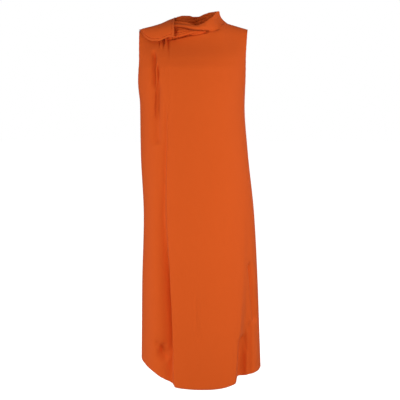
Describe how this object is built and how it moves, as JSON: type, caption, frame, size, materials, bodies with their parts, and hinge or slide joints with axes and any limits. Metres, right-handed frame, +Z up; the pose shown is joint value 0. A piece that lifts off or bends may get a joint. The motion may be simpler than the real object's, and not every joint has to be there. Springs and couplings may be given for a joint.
{
  "type": "tent dress with a draped collar, held out in its worn form",
  "caption": "Sleeveless tent dress in crepe, hollow as worn, with a stand collar that drapes over one shoulder, a long front fold and a hem lifted at one side.",
  "frame": {"origin": "midway between the shoulders, at the height of the neck ends of the shoulder seams, where the wearer's shoulders hold the dress up", "axes": "+Z up along the dress, the front faces -Y, +X is the wearer's left"},
  "size_m": [0.4172, 0.3691, 1.2379],
  "materials": {
    "crepe": "matt crepe, burnt orange"
  },
  "bodies": {
    "root": {"front": "crepe", "back": "crepe", "collar_band": "crepe", "collar_facing": "crepe", "front_tuck": "crepe", "shoulder_flap": "crepe"}
  },
  "joints": []
}
